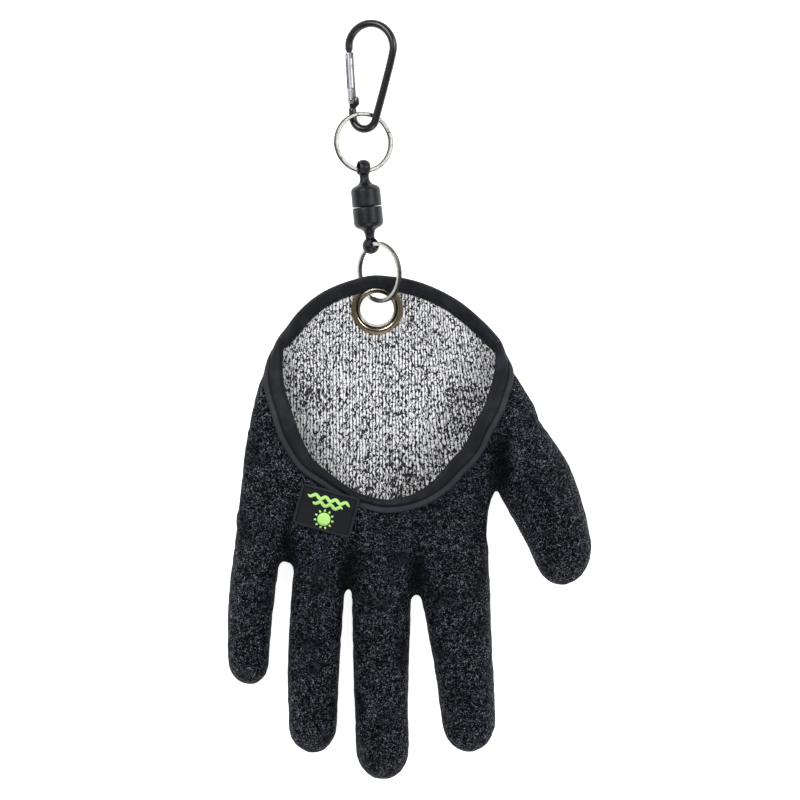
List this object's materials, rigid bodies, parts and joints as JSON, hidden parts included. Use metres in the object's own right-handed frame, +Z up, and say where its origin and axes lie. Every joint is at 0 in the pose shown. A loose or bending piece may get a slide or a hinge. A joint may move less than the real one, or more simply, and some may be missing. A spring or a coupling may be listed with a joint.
{
  "type": "fishing glove with magnetic retainer",
  "caption": "Rubber-coated right-hand glove with a low-cut cuff, bound rim and grommet, clipped to a magnetic release retainer with a small carabiner.",
  "frame": {"origin": "middle of the footprint, on the surface that the glove lies on", "axes": "+Y from the finger tips to the carabiner, +X to the thumb side, +Z up out of the back of the hand"},
  "size_m": [0.1596, 0.3346, 0.0283],
  "materials": {
    "glove_coat": "matt crinkled latex",
    "knit_liner": "salt-and-pepper knit",
    "cuff_binding": "smooth woven tape",
    "rubber_label": "moulded, with a raised rim",
    "grommet_eyelet": "bright rolled",
    "grommet_washer": "toothed, dull",
    "split_ring_lower": "bright",
    "clip_lower_half": "fine grain",
    "clip_magnet": "plated",
    "clip_upper_half": "fine grain",
    "split_ring_upper": "bright",
    "carabiner_body": "black, satin",
    "carabiner_gate": "brushed",
    "gate_pin": "plain"
  },
  "bodies": {
    "glove": {"glove_coat": "glove_coat", "knit_liner": "knit_liner", "cuff_binding": "cuff_binding", "rubber_label": "rubber_label", "grommet_eyelet": "grommet_eyelet", "grommet_washer": "grommet_washer", "split_ring_lower": "split_ring_lower", "clip_lower_half": "clip_lower_half", "clip_magnet": "clip_magnet"},
    "clip_upper": {"clip_upper_half": "clip_upper_half", "split_ring_upper": "split_ring_upper", "carabiner_body": "carabiner_body", "gate_pin": "gate_pin"},
    "gate": {"carabiner_gate": "carabiner_gate"}
  },
  "joints": [
    {"name": "magnet_release", "type": "slide", "parent": "glove", "child": "clip_upper", "axis": [-0.0941, 0.9956, 0], "range_m": [0, 0.02]},
    {"name": "gate_hinge", "type": "hinge", "parent": "clip_upper", "child": "gate", "pos_m": [-0.02525, 0.13185, 0.00185], "axis": [0.39, 0.0233, -0.9205], "range_deg": [0, 28], "stiffness_Nm_per_rad": 0.06, "springref_deg": -20.05}
  ]
}
